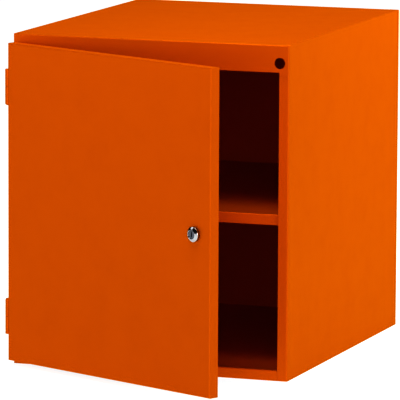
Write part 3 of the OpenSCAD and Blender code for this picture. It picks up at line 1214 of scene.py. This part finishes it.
@dataclass
class CamLock:
    """Cam lock: a capped body with a threaded barrel, washer, nut, plug, cam and screw."""

    fitter: Fitter
    space: Space = field(default_factory=lock_space)
    sheet: float = 0.0012
    hole_r: float = 0.00815
    edge: float = 0.0002
    barrel_r: float = 0.008
    thread_pitch: float = 0.001
    thread_depth: float = 0.00055
    thread_tip: float = 0.0008
    tip_inset: float = 0.0007
    neck: float = 0.0001
    cap_low: float = 0.0031
    cap_sheet: float = 0.0002
    lip_radius: float = 0.0003
    brow_radius: float = 0.0006
    inner_tilt: float = 22.0
    outer_tilt: float = 38.0
    head_r: float = 0.0065
    head_t: float = 0.003
    head_sunk: float = 0.0008
    groove_inset: float = 0.0013
    plug_r: float = 0.0055
    plug_edge: float = 0.0003
    play: float = 0.00005
    key_width: float = 0.0018
    key_length: float = 0.0076
    key_depth: float = 0.009
    wafer_top: float = 0.0024
    wafer_pitch: float = 0.0015
    wafer_t: float = 0.0009
    wafer_gap: float = 0.0001
    wafer_rim: float = 0.00008
    square: float = 0.007
    square_play: float = 0.0001
    cam_corner: float = 0.003
    cam_rim: float = 0.0003
    screw_r: float = 0.002
    screw_head_t: float = 0.003
    nut_mouth: float = 0.0005

    # Where a chamfer begins, in shares of half the width across the flats
    nut_chamfer = 0.97
    screw_chamfer = 0.95
    # Points round the axis, and chords of the cap's lip and cone, of corners and of the round cam and hole
    steps = 96
    cap_steps = 8
    corner_steps = 6
    round_steps = 24

    def build(self) -> None:
        """Builds the fixed and the turning pieces."""
        self._body()
        self._cap()
        self._washer()
        self._nut()
        self._plug()
        self._wafers()
        self._cam()
        self._screw()

    def _body(self) -> None:
        """Cast body with its threaded barrel, behind the cap."""
        low, high = self.space.box("lock_housing")
        barrel, edge = self.barrel_r, self.edge
        bore, pocket = self.plug_r + self.play, self.head_r + self.play
        floor = high.z - self.head_sunk - self.head_t
        ends = low.z + self.thread_tip, -self.sheet - edge
        thread = Thread(barrel, self.thread_pitch, self.thread_depth, *ends)
        wall = high.x - self.cap_sheet
        profile = [(bore, low.z), (barrel - self.tip_inset, low.z)]
        profile += [(barrel, z) for z in thread.heights()]
        profile += [
            (barrel, -self.neck), (barrel, 0), (wall - edge, 0), (wall, edge), (wall, self.cap_low),
            (pocket, self.cap_low), (pocket, floor), (bore, floor),
        ]
        body = Solid().lathe(profile, thread.bend, self.steps)
        cast = self.fitter.palette.cast
        self.fitter.place(body, "lock_body", Slot.CHROME, Body.DOOR, self.space, "lock_housing", cast)

    def _cap(self) -> None:
        """Bright cap pressed over the body: a crowned cone between a rounded brow and a fine lip."""
        high = self.space.box("lock_housing")[1]
        outer, pocket = high.x, self.head_r + self.play
        start, end = 90 - self.outer_tilt, 90 - self.inner_tilt
        (out_start, up_start), (out_end, up_end) = ray(start), ray(end)
        lip_centre = (pocket + self.lip_radius, high.z - self.lip_radius)
        lip = arc(lip_centre, self.lip_radius, end, 180, self.cap_steps)
        brow_x = outer - self.brow_radius
        lip_x, lip_z = lip[0]
        cone_r = (brow_x + self.brow_radius * out_start - lip_x) / (out_start - out_end)
        cone_centre = (lip_x - cone_r * out_end, lip_z - cone_r * up_end)
        cone = arc(cone_centre, cone_r, start, end, self.cap_steps)
        brow_centre = (brow_x, cone[0][1] - self.brow_radius * up_start)
        brow = arc(brow_centre, self.brow_radius, 0, start, self.corner_steps)
        section = [(pocket, self.cap_low), (outer, self.cap_low), *brow, *cone[1:-1], *lip]
        cap = Solid().lathe(section, steps=self.steps)
        self.fitter.place(cap, "lock_cap", Slot.CHROME, Body.DOOR, self.space, "lock_housing")

    def _washer(self) -> None:
        """Stamped washer behind the door's sheet, with rolled edges."""
        low, high = self.space.box("lock_washer")
        bore, outer, edge = self.hole_r, high.x, self.edge
        ring = Solid().lathe([
            (bore, low.z + edge), (bore + edge, low.z), (outer - edge, low.z), (outer, low.z + edge),
            (outer, high.z - edge), (outer - edge, high.z), (bore + edge, high.z), (bore, high.z - edge),
        ])
        self.fitter.place(ring, "lock_ring_washer", Slot.ZINC, Body.DOOR, self.space, "lock_washer")

    def _nut(self) -> None:
        """Hexagon nut on the barrel, with a chamfered mouth at both ends."""
        low, high = self.space.box("lock_nut")
        wall = Hexagon(2 * high.y, self.nut_chamfer, low.z, high.z)
        bore, mouth = self.barrel_r, self.nut_mouth
        nut = Solid().lathe([
            (bore, low.z + mouth), (bore + mouth, low.z), (wall.start, low.z), (wall.corner, low.z),
            (wall.corner, high.z), (wall.start, high.z), (bore + mouth, high.z), (bore, high.z - mouth),
        ], wall.bend, wall.steps)
        self.fitter.place(nut, "lock_hexagon_nut", Slot.ZINC, Body.DOOR, self.space, "lock_nut")

    def _plug(self) -> None:
        """Plug with a key slot, a turned face and the square that carries the cam."""
        low, high = self.space.box("lock_plug")
        face, seat = high.z, self.space.box("lock_cam")[1].z
        head, shoulder, edge = self.head_r, face - self.head_t, self.plug_edge
        groove = head - self.groove_inset
        plug = Solid().lathe([
            (0, seat), (self.plug_r, seat), (self.plug_r, shoulder), (head, shoulder), (head, face - edge),
            (head - edge, face), (groove + self.edge, face), (groove, face - self.edge),
            (groove - self.edge, face), (0, face),
        ])
        half, length = self.key_width / 2, self.key_length / 2
        ward = half / 2
        slot = [(half, -length), (half, -ward), (half + ward, -ward), (half + ward, ward), (half, ward),
                (half, length), (-half, length), (-half, -length)]
        plug.cut(Solid().prism(slot, face - self.key_depth, face + edge, edge / 2))
        side, last = self.square / 2, 360 - 360 / self.round_steps
        hole = arc((0, 0), self.screw_r, 0, last, self.round_steps - 1)[::-1]
        square = [(-side, -side), (side, -side), (side, side), (-side, side)]
        plug.joined(Solid().prism(square, low.z, seat, edge / 2, [hole]), Matrix.Identity(4))
        satin = self.fitter.palette.plug
        self.fitter.place(plug, "lock_core", Slot.CHROME, Body.CYLINDER, self.space, "lock_plug", satin)

    def _wafers(self) -> None:
        """Satin wafers of different reach that show in the key slot."""
        face = self.space.box("lock_plug")[1].z
        half, end = self.key_width / 2 - self.wafer_gap, self.key_length / 2 - self.wafer_gap
        count, least, more, kinds = 4, 0.25, 0.12, 3
        stack = Solid()
        for i in range(count):
            top = face - self.wafer_top - i * self.wafer_pitch
            reach = self.key_length / 2 * (least + more * (i % kinds))
            for sign in (1, -1):
                start, stop = sorted((sign * reach, sign * end))
                plate = [(-half, start), (half, start), (half, stop), (-half, stop)]
                stack.prism(plate, top - self.wafer_t, top, self.wafer_rim)
        satin = self.fitter.palette.plug
        self.fitter.place(stack, "lock_wafers", Slot.CHROME, Body.CYLINDER, self.space, material=satin)

    def _cam(self) -> None:
        """Stamped cam with a round head, rounded tip and square hole."""
        low, high = self.space.box("lock_cam")
        radius, corner = high.x, self.cam_corner
        side = self.square / 2 + self.square_play
        outline = arc((0, 0), radius, 0, 180, self.round_steps)
        outline += arc((-radius + corner, low.y + corner), corner, 180, 270, self.corner_steps)
        outline += arc((radius - corner, low.y + corner), corner, 270, 360, self.corner_steps)
        hole = [(-side, -side), (-side, side), (side, side), (side, -side)]
        cam = Solid().prism(outline, low.z, high.z, self.cam_rim, [hole])
        self.fitter.place(cam, "lock_cam_plate", Slot.ZINC, Body.CYLINDER, self.space, "lock_cam")

    def _screw(self) -> None:
        """Hexagon-head screw that holds the cam, with a cross recess."""
        low, high = self.space.box("cam_screw")
        seat = low.z + self.screw_head_t
        wall = Hexagon(2 * high.x * math.cos(math.radians(30)), self.screw_chamfer, low.z)
        screw = Solid().lathe([
            (0, high.z), (self.screw_r, high.z), (self.screw_r, seat), (wall.start, seat),
            (wall.corner, seat), (wall.corner, low.z), (wall.start, low.z), (0, low.z),
        ], wall.bend, wall.steps)
        recess = CrossRecess(span=0.005, width=0.0011, depth=0.0016)
        screw.cut(recess.cutter(-low.z).moved(Matrix.Rotation(math.pi, 4, "X")))
        self.fitter.place(screw, "cam_hexagon_screw", Slot.ZINC, Body.CYLINDER, self.space, "cam_screw")


# Studio


@dataclass(frozen=True)
class Lamp:
    """A studio light, placed round the object. Azimuth 0 is in front of it and 90 on its right."""

    name: str
    azimuth: float
    elevation: float
    strength: float
    tint: Colour = (1.0, 1.0, 1.0)

    def _hang(self, data: bpy.types.Light, distance: float) -> None:
        """Hangs a light so that it faces the object.

        Args:
            data: the light.
            distance: how far it is from the middle of the object.
        """
        (front, right), (level, rise) = ray(self.azimuth), ray(self.elevation)
        out = Vector((right * level, -front * level, rise))
        data.energy = self.strength
        data.color = self.tint
        light = bpy.data.objects.new(self.name, data)
        light.location = (CAD_BOX[0] + CAD_BOX[1]) / 2 + out * distance
        light.rotation_mode = "QUATERNION"
        light.rotation_quaternion = out.to_track_quat("Z", "Y")
        bpy.context.scene.collection.objects.link(light)


@dataclass(frozen=True)
class FarLamp(Lamp):
    """Distant broad light, even over the whole floor."""

    spread: float = 40.0
    distance: float = 10.0

    def build(self) -> None:
        """Adds the light."""
        data = bpy.data.lights.new(self.name, "SUN")
        data.angle = math.radians(self.spread)
        self._hang(data, self.distance)


@dataclass(frozen=True)
class Softbox(Lamp):
    """Round softbox near the object."""

    size: float = 0.8
    distance: float = 1.6

    def build(self) -> None:
        """Adds the light."""
        data = bpy.data.lights.new(self.name, "AREA")
        data.shape = "DISK"
        data.size = self.size
        self._hang(data, self.distance)


@dataclass
class Studio:
    """Pale floor, soft lights and the camera at the photograph's angle."""

    floor_half: float = 40.0
    floor_cells: int = 8
    horizon_light: Colour = (0.62, 0.62, 0.62)
    dome_light: Colour = (0.02, 0.02, 0.02)
    horizon_top: float = 0.055
    dome_start: float = 0.09
    camera_place: tuple[float, float, float] = (2.4634, -6.9696, 1.3018)
    camera_yaw: float = 19.587
    camera_pitch: float = -8.300
    camera_roll: float = -0.276
    camera_reach: float = 200.0
    focal_pixels: float = 4852.2
    sensor: float = 36.0

    lamps = (
        FarLamp("front_right", azimuth=22.0, elevation=5.0, strength=1.0),
        Softbox("front_top", azimuth=0.0, elevation=60.0, strength=8.0),
        Softbox("back_top", azimuth=195.0, elevation=66.0, strength=7.0, tint=(1.0, 1.06, 0.95)),
        Softbox("right_back", azimuth=114.0, elevation=34.0, strength=8.8, tint=(1.0, 1.14, 0.9)),
        Softbox("left", azimuth=-65.0, elevation=38.0, strength=1.3),
    )

    def build(self) -> None:
        """Builds the floor, the lights and the camera, and sets the view's contrast."""
        self._floor()
        self._world()
        for lamp in self.lamps:
            lamp.build()
            log.info("lit by %s", lamp.name)
        self._camera()
        view = bpy.context.scene.view_settings
        view.view_transform = "Standard"
        view.look = "Very High Contrast"

    def _floor(self) -> None:
        """Adds the floor, one wide sheet."""
        data = bpy.data.meshes.new("studio_floor")
        cells = self.floor_cells
        shape = bmesh.new()
        bmesh.ops.create_grid(shape, x_segments=cells, y_segments=cells, size=self.floor_half)
        shape.to_mesh(data)
        shape.free()
        floor = bpy.data.objects.new("studio_floor", data)
        data.materials.append(PaleFloor().make())
        bpy.context.scene.collection.objects.link(floor)

    def _world(self) -> None:
        """Adds pale light along the horizon and dimmer light above and below it."""
        world = bpy.data.worlds.new("studio")
        bpy.context.scene.world = world
        tree = Tree(world)
        direction = tree.wire("ShaderNodeTexCoord", output="Generated")
        height = tree.wire("ShaderNodeSeparateXYZ", None, {0: direction}, "Z")
        edge = self.horizon_top ** 2
        above = (height * height).above(edge, self.dome_start ** 2 - edge)
        colour = tree.mix(above, self.horizon_light, self.dome_light)
        light = tree.wire("ShaderNodeBackground", None, {"Color": colour, "Strength": 1.0})
        tree.node("ShaderNodeOutputWorld", None, {"Surface": light})

    def _camera(self) -> None:
        """Adds the camera that matches the photograph."""
        data = bpy.data.cameras.new("camera")
        data.sensor_width = self.sensor
        data.lens = self.focal_pixels * self.sensor / PHOTO_WIDTH
        data.clip_end = self.camera_reach
        camera = bpy.data.objects.new("camera", data)
        turn = Matrix.Rotation(math.radians(self.camera_yaw), 4, "Z")
        turn @= Matrix.Rotation(math.radians(self.camera_pitch), 4, "X")
        turn @= Matrix.Rotation(math.radians(self.camera_roll), 4, "Y")
        upright = Matrix.Rotation(math.pi / 2, 4, "X")
        camera.matrix_world = Matrix.Translation(self.camera_place) @ turn @ upright
        bpy.context.scene.collection.objects.link(camera)
        bpy.context.scene.camera = camera


def main() -> None:
    """Builds the cupboard's looks and the studio."""
    logging.basicConfig(level=logging.INFO, format="%(message)s")
    Studio().build()
    fitter = Fitter(Palette.mixed())
    Carcass(fitter).build()
    for end in HingeEnd:
        Hinge(fitter, end).build()
    Door(fitter).build()
    CamLock(fitter).build()


if __name__ == "__main__":
    main()
